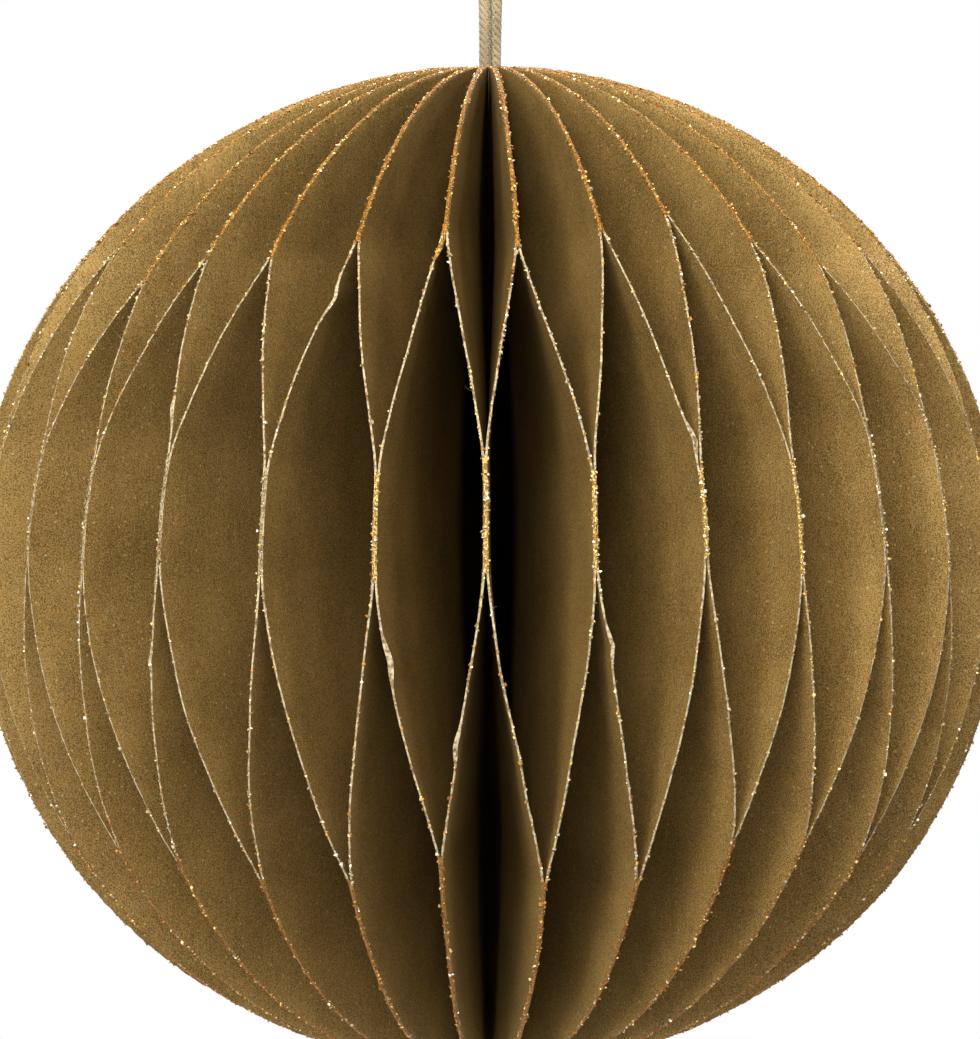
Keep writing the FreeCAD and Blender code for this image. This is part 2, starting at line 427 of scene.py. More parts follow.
def leaf_shape(number):
    """The fine rows of one leaf: where its spine and rim are, and which way they face."""
    spine, rim, heights = cad_rows("leaf_%02d" % number)
    root = spine.mean(axis=0)
    ends = heights[[0, LOWER_BAND_END, *MIDDLE_BAND, UPPER_BAND_START, CAD_ROWS - 1]]
    arms = rim - root
    angles = np.unwrap(np.arctan2(arms[:, 1], arms[:, 0]))
    lengths = np.hypot(arms[:, 0], arms[:, 1])
    oval = np.hypot(rim[:, 0], rim[:, 1])
    slope, square = np.polyfit(heights ** 2, oval ** 2, 1)
    half_height = math.sqrt(-square / slope)

    z, zone = [heights[0]], [LOWER]
    for kind, count in enumerate(ZONE_ROWS):
        start, stop = (math.asin(end / half_height) for end in ends[kind:kind + 2])
        steps = start + (stop - start) * np.arange(1, count + 1) / count
        z.extend(half_height * np.sin(steps))
        zone.extend([kind] * count)
    z, zone = np.array(z), np.array(zone)

    share = np.zeros_like(z)
    below, above = z < ends[2], z > ends[3]
    share[below] = np.clip((ends[2] - z[below]) / (ends[2] - ends[1]), 0, 1)
    share[above] = np.clip((z[above] - ends[3]) / (ends[4] - ends[3]), 0, 1)
    share = share ** SWING_POWER
    middle = angles[MIDDLE_BAND[0]:MIDDLE_BAND[1] + 1].mean()
    outer = np.where(z < ends[2], angles[:LOWER_BAND_END + 1].mean(), angles[UPPER_BAND_START:].mean())
    angle = eased(middle + (outer - middle) * share)

    def model(height):
        return np.sqrt(square + slope * height ** 2) - np.hypot(*root)

    reach = model(z) * np.interp(z, heights, lengths / model(heights))
    out = np.stack((np.cos(angle), np.sin(angle)), axis=1)
    rim_point = root + out * reach[:, None]
    rim_out = rim_point / np.hypot(rim_point[:, 0], rim_point[:, 1])[:, None]
    rim_along = np.stack((-rim_out[:, 1], rim_out[:, 0]), axis=1)
    root_along = np.array((-root[1], root[0])) / np.hypot(*root)

    # Glued neighbours stray together, and a free edge strays by itself.
    sizes = bpy.context.scene.paper_ball_sizes
    pair = (number - 1) // 2
    outer_seed = np.where(z < ends[2], 1, 0)
    outer_wander = np.where(outer_seed == 1, waver(z, 3000 + pair, sizes.edge_waver),
                            waver(z, 2000 + pair, sizes.edge_waver))
    wander = (1 - share) * waver(z, 1000 + middle_join(number), sizes.edge_waver) + share * outer_wander
    wander += np.sin(math.pi * share) * waver(z, 4000 + number, 1.3 * sizes.edge_waver)
    wander *= np.clip(reach / (20 * MM), 0, 1)
    return LeafShape(z, zone, share, root, root_along, rim_point, rim_along, rim_out, wander)


def dent_at(number, z):
    """Push sideways and torn width along one leaf's edge."""
    push, torn = np.zeros_like(z), np.zeros_like(z)
    for leaf, height, sideways, length, tear in DENTS:
        if leaf == number:
            t = (z / MM - height) / length
            push += sideways * MM * np.exp(-np.abs(t) ** 1.4 * 2.0) * np.cos(1.6 * t)
            torn += tear * np.exp(-(1.7 * t) ** 4)
    return push, torn


def rim_line(number):
    """Points along one leaf's cut edge, with the ways along the ball and out of it."""
    shape = leaf_shape(number)
    push, torn = dent_at(number, shape.z)
    flat = shape.rim + shape.rim_along * (shape.reach + push)[:, None]
    return shape, np.column_stack((flat, shape.z)), torn


def build_leaf(number, materials):
    shape, rim, torn = rim_line(number)
    sizes = bpy.context.scene.paper_ball_sizes
    half = sizes.card_thickness / 2
    free = np.clip(8 * np.minimum(shape.share, 1 - shape.share), 0, 1)
    middle_side = -1 if number % 2 else 1
    rng = np.random.default_rng(5000 + number)
    rows, columns = len(shape.z), len(COLUMNS)
    push, _ = dent_at(number, shape.z)
    nick = rng.normal(0.0, NICK, rows)
    sides = []
    for side in (-1, 1):
        # The blade pressed a free edge thin on both sides, and a glued one only on its outer side.
        glued = np.where((side == middle_side) == (shape.share < 0.5), GLUED_RIM, OUTER_RIM)
        edge = glued * (1 - free) + sizes.rim_width / sizes.card_thickness * free + torn
        grid = np.zeros((rows, columns, 3))
        for column, share in enumerate(COLUMNS):
            flat = shape.spine + (shape.rim - shape.spine) * share
            bend = shape.reach * share ** BEND_POWER + push * share ** DENT_POWER
            thick = half * (1 + (edge - 1) * share ** PRESSED_POWER)
            along = shape.spine_along * (1 - share) + shape.rim_along * share
            flat = flat + along * (bend + side * thick)[:, None]
            if share == 1.0:
                flat = flat + shape.rim_out * nick[:, None]
            grid[:, column, :2] = flat
            grid[:, column, 2] = shape.z
        sides.append(grid)
    points = np.concatenate([grid.reshape(-1, 3) for grid in sides])

    def face(*corners):
        """A face from its corners, each a side, a row and a column."""
        return tuple((0 if side < 0 else rows * columns) + row * columns + column
                     for side, row, column in corners)

    faces, kinds = [], []
    last, top = columns - 1, rows - 1
    for row in range(top):
        dusted = shape.zone[row + 1] == MIDDLE and join_density(number, MIDDLE) > BARE_DUST
        edge_kind = 1 + dusted + 2 * (shape.zone[row + 1] in (LOWER, UPPER))
        up = row + 1
        for column in range(last):
            on = column + 1
            faces.append(face((1, row, column), (1, row, on), (1, up, on), (1, up, column)))
            faces.append(face((-1, row, column), (-1, up, column), (-1, up, on), (-1, row, on)))
            kinds += [0, 0]
        faces.append(face((-1, row, last), (-1, up, last), (1, up, last), (1, row, last)))
        kinds.append(edge_kind)
        faces.append(face((-1, row, 0), (1, row, 0), (1, up, 0), (-1, up, 0)))
        kinds.append(0)
    for column in range(last):
        on = column + 1
        faces.append(face((-1, 0, column), (-1, 0, on), (1, 0, on), (1, 0, column)))
        faces.append(face((-1, top, column), (1, top, column), (1, top, on), (-1, top, on)))
        kinds += [1, 1]
    piece = new_piece("card_leaf_%02d" % number, points, faces, materials, kinds)
    sharp_rims(piece)
    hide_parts("leaf_%02d" % number)
    return fit_to_root(piece)


def sharp_rims(piece):
    """Marks the edges between the card's faces and its cut edge as sharp."""
    mesh = piece.data
    kinds = {}
    for polygon in mesh.polygons:
        for key in polygon.edge_keys:
            kinds.setdefault(key, set()).add(polygon.material_index > 0)
    sharp = [len(kinds.get(edge.key, ())) > 1 for edge in mesh.edges]
    mesh.edges.foreach_set("use_edge_sharp", sharp)


# Glitter

# Forms of a grain and of a crumb, 2 across: points and faces.
GRAIN = (np.array(((1, 0, 0), (-1, 0, 0), (0, 1, 0), (0, -1, 0), (0, 0, 0.6), (0, 0, -0.6)), dtype=float),
         np.array(((0, 2, 4), (2, 1, 4), (1, 3, 4), (3, 0, 4), (2, 0, 5), (1, 2, 5), (3, 1, 5), (0, 3, 5))))
CRUMB = (np.array(((1, 1, 1), (1, -1, -1), (-1, 1, -1), (-1, -1, 1)), dtype=float) * 0.7,
         np.array(((0, 1, 2), (0, 3, 1), (0, 2, 3), (1, 3, 2))))

# Share of each kind of grain in a zone: pale gold, deep gold, copper, near-white grains that are painted
# glints, crumbs of the card's core.
FOIL_SHARES = {
    UPPER: (0.28, 0.38, 0.24, 0.05, 0.05),
    LOWER: (0.18, 0.32, 0.40, 0.04, 0.06),
    MIDDLE: (0.38, 0.25, 0.05, 0.20, 0.12),
    UPPER_OPEN: (0.30, 0.30, 0.12, 0.08, 0.20),
    LOWER_OPEN: (0.24, 0.28, 0.14, 0.08, 0.26),
}
# Grains for each millimetre of one leaf's edge.
GRAINS_PER_MM = {UPPER: 3.6, LOWER: 3.2, MIDDLE: 4.2, UPPER_OPEN: 5.2, LOWER_OPEN: 3.4}
CRUMBS_PER_MM = {MIDDLE: 4.0, UPPER_OPEN: 5.5, LOWER_OPEN: 5.5}
CRUMB_SHARES = (0.16, 0.12, 0.08, 0.04, 0.60)
# How far the glue under the grains stands proud of the card in a glued band.
BEAD_LIFT = 0.06 * MM

# How thickly the middle joins that face the front were dusted, from left to right.
FRONT_DUST = (0.25, 0.3, 0.3, 0.5, 0.8, 1.35, 1.1, 0.85, 0.9, 0.6, 0.4)
# The same for the upper free edges of the leaves that face the front, by leaf number.
FRONT_EDGE_DUST = {7: 1.3, 8: 0.6, 9: 0.8, 10: 1.5, 11: 1.7, 12: 1.6, 13: 1.0, 14: 0.7}
# Joins dusted less than this show the bare cut core between their grains.
BARE_DUST = 0.6


def turned(count, rng):
    """Random turns, as count 3 by 3 matrices."""
    q = rng.normal(size=(count, 4))
    q /= np.linalg.norm(q, axis=1)[:, None]
    w, x, y, z = q.T
    return np.stack((
        1 - 2 * (y * y + z * z), 2 * (x * y - z * w), 2 * (x * z + y * w),
        2 * (x * y + z * w), 1 - 2 * (x * x + z * z), 2 * (y * z - x * w),
        2 * (x * z - y * w), 2 * (y * z + x * w), 1 - 2 * (x * x + y * y)), axis=1).reshape(-1, 3, 3)


def travel_along(line):
    """How far each point of a line lies from its first."""
    return np.concatenate(((0.0,), np.cumsum(np.linalg.norm(np.diff(line, axis=0), axis=1))))


def at_travel(t, travel, values):
    return np.stack([np.interp(t, travel, column) for column in values.T], axis=1)


def zone_rows(shape, kind):
    """The rows of points that bound one zone of a leaf."""
    rows = np.flatnonzero(shape.zone == kind)
    return slice(max(rows[0] - 1, 0), rows[-1] + 1)


def scatter(number, kind, rng):
    """Places, widths and foils of the grains on one leaf's edge in one zone."""
    sizes = bpy.context.scene.paper_ball_sizes
    shape, rim, _ = rim_line(number)
    rows = zone_rows(shape, kind)
    travel = travel_along(rim[rows])
    count = int(travel[-1] / MM * GRAINS_PER_MM[kind] * join_density(number, kind))
    t = np.sort(rng.random(count)) * travel[-1]
    # Grains lie in clumps where more glue was, and a free edge has more of them near its fork.
    slow = np.sin(t / (2.3 * MM) + rng.random() * 6)
    clump = 0.5 + 0.5 * slow * np.sin(t / (0.9 * MM) + rng.random() * 6)
    keep = 0.45 + 0.75 * clump
    if kind in (UPPER_OPEN, LOWER_OPEN):
        from_fork = travel[-1] - t if kind == UPPER_OPEN else t
        keep *= 0.45 + 1.2 * np.exp(-from_fork / (5.0 * MM))
    t = t[rng.random(count) < keep]
    count = len(t)
    spot = at_travel(t, travel, rim[rows])
    side = at_travel(t, travel, shape.rim_along[rows])
    outward = at_travel(t, travel, shape.rim_out[rows])
    width = sizes.grain_small + (sizes.grain_large - sizes.grain_small) * rng.random(count) ** 2.6
    across = rng.normal(0.0, 0.6, count).clip(-1.3, 1.3) * sizes.card_thickness / 2
    lift = width * rng.uniform(-0.05, 0.35, count)
    if kind not in (UPPER_OPEN, LOWER_OPEN):
        lift += BEAD_LIFT
    spot[:, :2] += side * across[:, None] + outward * lift[:, None]
    return spot, width, rng.choice(5, count, p=FOIL_SHARES[kind])


def crumble(number, kind, rng):
    """Places, widths and foils of the fine crumbs that roughen one leaf's edge in one zone."""
    sizes = bpy.context.scene.paper_ball_sizes
    shape, rim, _ = rim_line(number)
    rows = zone_rows(shape, kind)
    travel = travel_along(rim[rows])
    count = int(travel[-1] / MM * CRUMBS_PER_MM[kind])
    t = rng.random(count) * travel[-1]
    spot = at_travel(t, travel, rim[rows])
    across = rng.uniform(-0.62, 0.62, count) * sizes.rim_width
    lift = rng.uniform(-0.04, 0.03, count) * MM + (BEAD_LIFT if kind == MIDDLE else 0.0)
    spot[:, :2] += (at_travel(t, travel, shape.rim_along[rows]) * across[:, None]
                    + at_travel(t, travel, shape.rim_out[rows]) * lift[:, None])
    return spot, rng.uniform(0.08, 0.17, count) * MM, rng.choice(5, count, p=CRUMB_SHARES)


def join_density(number, kind):
    """How thickly a join was dusted: every join differs, and both its leaves are alike."""
    pair = (number - 1) // 2
    if kind == UPPER_OPEN and number in FRONT_EDGE_DUST:
        return FRONT_EDGE_DUST[number]
    if kind in (UPPER_OPEN, LOWER_OPEN):
        return 0.25 + 1.5 * np.random.default_rng(900 + 70 * kind + number).random()
    if kind == MIDDLE:
        join = middle_join(number)
        if join < len(FRONT_DUST):
            return FRONT_DUST[join]
        return 0.25 + 0.9 * np.random.default_rng(700 + join).random()
    return 0.65 + 0.6 * np.random.default_rng(700 + 40 * kind + pair).random()


def build_grains(name, zones, spread_grains, form, materials, seed):
    """One piece of many grains of a form, spread over these zones of every leaf."""
    rng = np.random.default_rng(seed)
    found = [spread_grains(number, kind, rng) for number in range(1, 2 * PAIRS + 1) for kind in zones]
    places, widths, foils = (np.concatenate(part) for part in zip(*found))
    count = len(places)
    form_points, form_faces = form
    grain = form_points[None] * (widths / 2)[:, None, None] * rng.uniform(0.75, 1.2, (count, 1, 3))
    points = np.einsum("nij,nkj->nki", turned(count, rng), grain) + places[:, None]
    faces = form_faces[None] + (np.arange(count) * len(form_points))[:, None, None]
    piece = new_piece(name, points, faces.reshape(-1, 3), materials, np.repeat(foils, len(form_faces)),
                      smooth=False)
    return fit_to_root(piece)


# Glue

BEAD_STEP = 0.22 * MM
BEAD_SIDES = 6
# How far a bead stands proud of its seam, and less where it is a web, which spans more than WEB_GAP.
BEAD_DEPTH, WEB_THINNING = 0.105 * MM, 0.055 * MM
WEB_GAP = 0.32 * MM
# How unevenly it was brushed on: in width, in depth, and from point to point.
BEAD_WIDTH_NOISE, BEAD_DEPTH_NOISE, BEAD_LUMPS = 0.24, 0.45, 0.018 * MM
# How far a bead laps over the two edges that it joins. The middle bands have the thinnest beads.
BEAD_OVERLAP = {UPPER: 0.03 * MM, MIDDLE: -0.01 * MM, LOWER: -0.01 * MM}
# Widest gap that the glue bridges in a fork, drawn at random, and the fork that has a torn flap of it.
BRIDGES = (0.31 * MM, 0.5 * MM)
FLAP_JOIN, FLAP_BRIDGE = 4, 1.4 * MM


def joined_leaves(join, kind):
    """The two leaves that meet at a join: of one pair above and below, of two pairs in the middle."""
    if kind == MIDDLE:
        return (2 * join if join else 2 * PAIRS), 2 * join + 1
    return 2 * join + 1, 2 * join + 2


def smoothed(values, times):
    for _ in range(times):
        values = np.convolve(np.pad(values, 1, mode="edge"), (0.25, 0.5, 0.25), mode="valid")
    return values


def glue_bead(join, kind, rng):
    """A bead of dried glue along a join's seam, that webs over the tips of the forks at its open ends."""
    first, second = joined_leaves(join, kind)
    shape, line, _ = rim_line(first)
    other_shape, other_line, _ = rim_line(second)
    other = at_travel(shape.z, other_shape.z, other_line)
    rows = zone_rows(shape, kind)
    near = slice(max(rows.start - 8, 0), rows.stop + 8)
    travel = travel_along((line[near] + other[near]) / 2)
    t = np.arange(0.0, travel[-1], BEAD_STEP)
    left, right = at_travel(t, travel, line[near]), at_travel(t, travel, other[near])
    centre = (left + right) / 2
    gap = np.linalg.norm(right - left, axis=1)
    bridge_below, bridge_above = rng.uniform(*BRIDGES, 2)
    if kind == UPPER and join == FLAP_JOIN:
        bridge_below = FLAP_BRIDGE
    low, high = shape.z[rows.start], shape.z[rows.stop - 1]
    bridge = np.where(centre[:, 2] < (low + high) / 2, bridge_below, bridge_above)
    beyond = ((centre[:, 2] < low) | (centre[:, 2] > high)) & (gap > bridge)
    middle = np.argmin(np.abs(centre[:, 2] - (low + high) / 2))
    stops = np.flatnonzero(beyond)
    begin = stops[stops < middle].max(initial=-1) + 1
    end = stops[stops > middle].min(initial=len(t))
    centre, gap = centre[begin:end], gap[begin:end]
    count = len(centre)
    ahead = np.gradient(centre, axis=0)
    ahead /= np.linalg.norm(ahead, axis=1)[:, None]
    along = np.zeros((count, 3))
    along[:, :2] = at_travel(t[begin:end], travel, shape.rim_along[near])
    outward = np.cross(along, ahead)
    outward /= np.linalg.norm(outward, axis=1)[:, None]
    webbed = np.clip((gap - WEB_GAP) / (0.4 * MM), 0, 1)
    ends = np.minimum(np.arange(count), np.arange(count)[::-1])
    taper = np.clip(0.35 + 0.25 * ends, 0, 1)
    width_noise = 1 + BEAD_WIDTH_NOISE * smoothed(rng.normal(0, 1, count), 1)
    depth_noise = (1 + BEAD_DEPTH_NOISE * smoothed(rng.normal(0, 1, count), 1)).clip(0.3, 2.0)
    half = (gap / 2 + BEAD_OVERLAP[kind]) * width_noise * taper ** 0.3
    deep = (BEAD_DEPTH - WEB_THINNING * webbed) * depth_noise * taper
    centre = centre - outward * (0.3 * np.clip(gap - WEB_GAP, 0, 0.5 * MM) + 0.01 * MM)[:, None]
    if kind == UPPER and join == FLAP_JOIN:
        # The flap hangs on the first leaf's edge and narrows to a point.
        torn = np.clip((gap - 0.34 * MM) / (FLAP_BRIDGE - 0.34 * MM), 0, 1)[:, None]
        centre = centre + (left[begin:end] - centre) * torn ** 0.7
        half = half * (1 - 0.85 * torn[:, 0])
        deep = deep * (1 + 0.8 * torn[:, 0])
    rings = []
    for corner in range(BEAD_SIDES):
        turn = 2 * math.pi * corner / BEAD_SIDES
        rings.append(centre + outward * (deep * math.cos(turn))[:, None]
                     + along * (half * math.sin(turn))[:, None] + rng.normal(0.0, BEAD_LUMPS, (count, 3)))
    return np.stack(rings, axis=1).reshape(-1, 3), tube_faces(count, BEAD_SIDES, 0, capped=True)


def build_glue(name, kind, materials, seed):
    rng = np.random.default_rng(seed)
    beads, kinds = [], []
    for join in range(PAIRS):
        points, faces = glue_bead(join, kind, rng)
        bare = kind == MIDDLE and join_density(2 * join + 1, MIDDLE) <= BARE_DUST
        beads.append((points, faces))
        kinds += [1 if bare else 0] * len(faces)
    points, faces = joined(beads)
    return fit_to_root(new_piece(name, points, faces, materials, kinds))


def build_fibres(name, each, longest, seed):
    """Pulp fibres that the blade pulled out of the cut edges."""
    rng = np.random.default_rng(seed)
    parts = []
    for number in range(1, 2 * PAIRS + 1):
        line = rim_line(number)[1]
        parts.append(hairs(line[50:-44], each, rng, longest, 0.05 * MM, 0.014 * MM))
    points, faces = joined(parts)
    return fit_to_root(new_piece(name, points, faces, [cut_core()]))


# Cord

# The cord's route in mm. It repeats the source's points, with one more on each long run, and over the
# ball its left leg lies a little in front of the right one, as in the photograph.
CORD_ROUTE = (
    (-0.53, 0.0, -48.5), (-0.40, -0.16, 41.9), (-0.36, -0.16, 58.0), (-1.9, 0.0, 74.0), (-3.8, 0.0, 86.5),
    (-4.4, 0.0, 93.5), (-2.6, 0.0, 99.0), (2.7, 0.0, 99.3), (4.5, 0.0, 93.8), (3.7, 0.0, 86.7),
    (1.8, 0.0, 73.7), (0.70, 0.42, 57.7), (0.50, 0.5, 41.6), (0.53, 0.0, -48.5),
)
BRAID_POINTS = 16
STRANDS = 12
STRAND_SIDES = 4
# The strands' place, dip, half thickness and half width, and their core's size, as shares of the radius.
STRAND_PLACE, STRAND_DIP, STRAND_THICK, STRAND_WIDE, CORE_SIZE = 1.03, 0.025, 0.13, 0.54, 1.05


def route_line(route):
    """Points along the smooth NURBS line of a route."""
    curve = bpy.data.curves.new("route", "CURVE")
    curve.dimensions = "3D"
    spline = curve.splines.new("NURBS")
    spline.points.add(len(route) - 1)
    for point, place in zip(spline.points, route):
        point.co = (*place, 1.0)
    spline.order_u = 3
    spline.use_endpoint_u = True
    spline.resolution_u = 40
    guide = bpy.data.objects.new("route", curve)
    bpy.context.scene.collection.objects.link(guide)
    bpy.context.view_layer.update()
    mesh = bpy.data.meshes.new_from_object(guide)
    line = np.array([vertex.co[:] for vertex in mesh.vertices])
    bpy.data.objects.remove(guide)
    bpy.data.curves.remove(curve)
    bpy.data.meshes.remove(mesh)
    return line


def even_line(line, spacing):
    """The same line with its points evenly spaced."""
    travel = travel_along(line)
    count = max(2, int(round(travel[-1] / spacing)) + 1)
    t = np.linspace(0.0, travel[-1], count)
    return at_travel(t, travel, line), t


def frames_along(line):
    """Two directions across the line at each point, carried along it without twist."""
    ahead = np.gradient(line, axis=0)
    ahead /= np.linalg.norm(ahead, axis=1)[:, None]
    first = np.array((0.0, -1.0, 0.0))
    first = first - ahead[0] * first.dot(ahead[0])
    across = []
    for direction in ahead:
        first = first - direction * first.dot(direction)
        first = first / np.linalg.norm(first)
        across.append(first)
    across = np.array(across)
    return ahead, across, np.cross(ahead, across)


def tube_faces(rings, sides, start, capped=False):
    faces = []
    for ring in range(rings - 1):
        for side in range(sides):
            here, there = start + ring * sides, start + (ring + 1) * sides
            turn = (side + 1) % sides
            faces.append((here + side, here + turn, there + turn, there + side))
    if capped:
        last = start + (rings - 1) * sides
        faces.append(tuple(start + side for side in reversed(range(sides))))
        faces.append(tuple(last + side for side in range(sides)))
    return faces


def braid(line, spread=None):
    """Twelve flat strands braided round a line, in upright rows of steep Vs.

    spread widens the braid along the line, for an end that comes apart.
    """
    sizes = bpy.context.scene.paper_ball_sizes
    line, t = even_line(line, sizes.braid_lead / BRAID_POINTS)
    spread = np.ones(len(t)) if spread is None else np.interp(t / t[-1], *spread)
    ahead, across, up = frames_along(line)
    radius = sizes.cord_diameter / 2
    points, faces = [], []
    for strand in range(STRANDS):
        way = 1 if strand < STRANDS // 2 else -1
        angle = way * 2 * math.pi * t / sizes.braid_lead + strand * 4 * math.pi / STRANDS
        lifted = radius * (STRAND_PLACE + way * STRAND_DIP * np.sin(3 * angle)) * spread
        axis = across * np.cos(angle)[:, None] + up * np.sin(angle)[:, None]
        centre = line + axis * lifted[:, None]
        way_on = np.gradient(centre, axis=0)
        way_on /= np.linalg.norm(way_on, axis=1)[:, None]
        flat = np.cross(way_on, axis)
        flat /= np.linalg.norm(flat, axis=1)[:, None]
        ring = []
        for side in range(STRAND_SIDES):
            turn = 2 * math.pi * side / STRAND_SIDES
            ring.append(centre + axis * (STRAND_THICK * radius * math.cos(turn))
                        + flat * (STRAND_WIDE * radius * math.sin(turn)))
        start = sum(len(part) for part in points)
        points.append(np.stack(ring, axis=1).reshape(-1, 3))
        faces += tube_faces(len(line), STRAND_SIDES, start, capped=True)
    # The strands lie on a core of straight yarn.
    turns = 2 * math.pi * np.arange(8)[:, None] / 8
    around = across[::2, None] * np.cos(turns) + up[::2, None] * np.sin(turns)
    core = line[::2, None] + CORE_SIZE * radius * around
    start = sum(len(part) for part in points)
    points.append(core.reshape(-1, 3))
    faces += tube_faces(len(core), 8, start, capped=True)
    return np.concatenate(points), faces


def hairs(line, count, rng, longest, stand_off, thickness):
    """Loose fibres that stand off a line: thin three-sided curls with a point."""
    ahead, across, up = frames_along(line)
    points, faces = [], []
    steps = 5
    for _ in range(count):
        at = rng.integers(1, len(line) - 1)
        angle = rng.random() * 2 * math.pi
        out = across[at] * math.cos(angle) + up[at] * math.sin(angle)
        lean = ahead[at] * rng.normal(0, 0.9) + np.cross(ahead[at], out) * rng.normal(0, 0.7)
        curl = rng.normal(0, 0.8, 3)
        length = longest * (0.25 + 0.75 * rng.random() ** 2)
        side_a = np.cross(out, ahead[at])
        side_b = np.cross(out, side_a)
        start = len(points)
        for step in range(steps):
            s = step / (steps - 1)
            centre = (line[at] + out * stand_off
                      + (out * s + lean * s * s + curl * s ** 3 * 0.4) * length * 0.6)
            width = thickness * (1.15 - s)
            for corner in range(3):
                turn = 2 * math.pi * corner / 3
                points.append(centre + side_a * width * math.cos(turn) + side_b * width * math.sin(turn))
        faces += tube_faces(steps, 3, start)
    return np.array(points), faces


def joined(parts):
    """One list of points and faces out of several."""
    points, faces, start = [], [], 0
    for part_points, part_faces in parts:
        points.append(np.asarray(part_points))
        faces += [tuple(corner + start for corner in face) for face in part_faces]
        start += len(part_points)
    return np.concatenate(points), faces


KNOT_TOP, KNOT_BOTTOM = -48.5 * MM, -54.1 * MM
# How far each leg of the cord enters the knot from its middle.
LEG_FOOT = 0.53 * MM
# Outer and inner windings of the knot.
WRAP_RADII, WRAP_TURNS = (2.85 * MM, 1.72 * MM), 4.3
TAIL_LENGTH, TAIL_LEAN = 7.6 * MM, math.radians(14.0)


def wrap_line(foot, radius, turns, start_angle):
    """One end of the cord in the knot: down from its leg, round in tight turns, and out as a tail."""
    cord = bpy.context.scene.paper_ball_sizes.cord_diameter
    steps = np.linspace(0.0, 1.0, 260)
    wraps = np.clip((steps - 0.04) / 0.84, 0, 1)
    ease = np.clip(steps / 0.08, 0, 1) * np.clip((1 - steps) / 0.08, 0, 1)
    ease = ease * ease * (3 - 2 * ease)
    angle = start_angle + wraps * turns * 2 * math.pi
    across = foot * (1 - ease) + radius * ease * np.cos(angle)
    depth = radius * ease * np.sin(angle)
    height = KNOT_TOP - cord / 2 + (KNOT_BOTTOM - KNOT_TOP + cord) * wraps
    return np.stack((across, depth, height), axis=1)


def tail_line(side):
    """One cut end of the cord, from inside the knot down and outwards."""
    cord = bpy.context.scene.paper_ball_sizes.cord_diameter
    start = np.array((side * LEG_FOOT, 0.0, KNOT_BOTTOM + cord))
    steps = np.linspace(0.0, 1.0, 60)
    across = side * math.sin(TAIL_LEAN) * TAIL_LENGTH * steps + 0.5 * MM * np.sin(steps * math.pi) * side
    depth = 0.3 * MM * side * np.sin(steps * 2.2)
    return start + np.stack((across, depth, -math.cos(TAIL_LEAN) * TAIL_LENGTH * steps), axis=1)


# Operators

class PAPERBALL_OT_leaves(bpy.types.Operator):
    """Cut and fit every card leaf over its leaf in the frame"""
    bl_idname = "paperball.leaves"
    bl_label = "Card leaves"

    def execute(self, context):
        colours = context.scene.paper_ball_colours
        materials = [pearl_card(), cut_core(),
                     glued_edge("Glue with gold dust", colours.gold_glue, colours.pale_gold),
                     glued_edge("Glue with dull copper dust", colours.copper_glue, colours.copper_dust)]
        for number in range(1, 2 * PAIRS + 1):
            build_leaf(number, materials)
        return {"FINISHED"}


class PAPERBALL_OT_glitter(bpy.types.Operator):
    """Dust the glued joins and the cut edges with glitter"""
    bl_idname = "paperball.glitter"
    bl_label = "Glitter"

    def execute(self, context):
        colours = context.scene.paper_ball_colours
        foils = [glitter_foil("Glitter film, pale gold", colours.pale_gold),
                 glitter_foil("Glitter film, deep gold", colours.deep_gold),
                 glitter_foil("Glitter film, copper", colours.copper),
                 # The fourth foil is a painted glint: grains of a nearly white colour.
                 glitter_foil("Glitter film, painted glint", colours.glitter_painted_glint), cut_core()]
        build_grains("glitter_upper_joins", (UPPER,), scatter, GRAIN, foils, 11)
        build_grains("glitter_middle_joins", (MIDDLE,), scatter, GRAIN, foils, 12)
        build_grains("glitter_lower_joins", (LOWER,), scatter, GRAIN, foils, 13)
        build_grains("glitter_free_edges", (UPPER_OPEN, LOWER_OPEN), scatter, GRAIN, foils, 14)
        build_grains("edge_crumbs", (MIDDLE, UPPER_OPEN, LOWER_OPEN), crumble, CRUMB, foils, 15)
        return {"FINISHED"}


class PAPERBALL_OT_glue(bpy.types.Operator):
    """Run a bead of glue along every glued band, with webs in the tips of the forks"""
    bl_idname = "paperball.glue"
    bl_label = "Glue"

    def execute(self, context):
        colours = context.scene.paper_ball_colours
        gold = glued_edge("Glue with gold dust", colours.gold_glue, colours.pale_gold)
        copper = glued_edge("Glue with copper dust", colours.copper_glue, colours.deep_gold)
        dull = glued_edge("Glue with dull copper dust", colours.copper_glue, colours.copper_dust)
        bare = glued_edge("Dried white glue", colours.bare_glue, colours.cut_edge)
        build_glue("glue_upper_joins", UPPER, [copper], 21)
        build_glue("glue_middle_joins", MIDDLE, [gold, bare], 22)
        build_glue("glue_lower_joins", LOWER, [dull], 23)
        build_fibres("paper_fibres", 5, 1.1 * MM, 24)
        return {"FINISHED"}


class PAPERBALL_OT_knot(bpy.types.Operator):
    """Tie the knot that holds the cord under the ball, with its two tails"""
    bl_idname = "paperball.knot"
    bl_label = "Knot"

    def execute(self, context):
        opening = ((0.0, 0.78, 0.92, 1.0), (1.0, 1.0, 1.25, 1.9))
        rng = np.random.default_rng(31)
        tails = [tail_line(-1), tail_line(1)]
        parts = [braid(wrap_line(-LEG_FOOT, WRAP_RADII[0], WRAP_TURNS, math.pi)),
                 braid(wrap_line(LEG_FOOT, WRAP_RADII[1], WRAP_TURNS, 0.0))]
        parts += [braid(tail, opening) for tail in tails]
        parts += [hairs(tail[-14:], 60, rng, 1.6 * MM, 0.42 * MM, 0.012 * MM) for tail in tails]
        points, faces = joined(parts)
        knot = new_piece("cord_knot", points, faces, [braided_cotton()])
        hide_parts("end_knot")
        fit_to_root(knot)
        return {"FINISHED"}


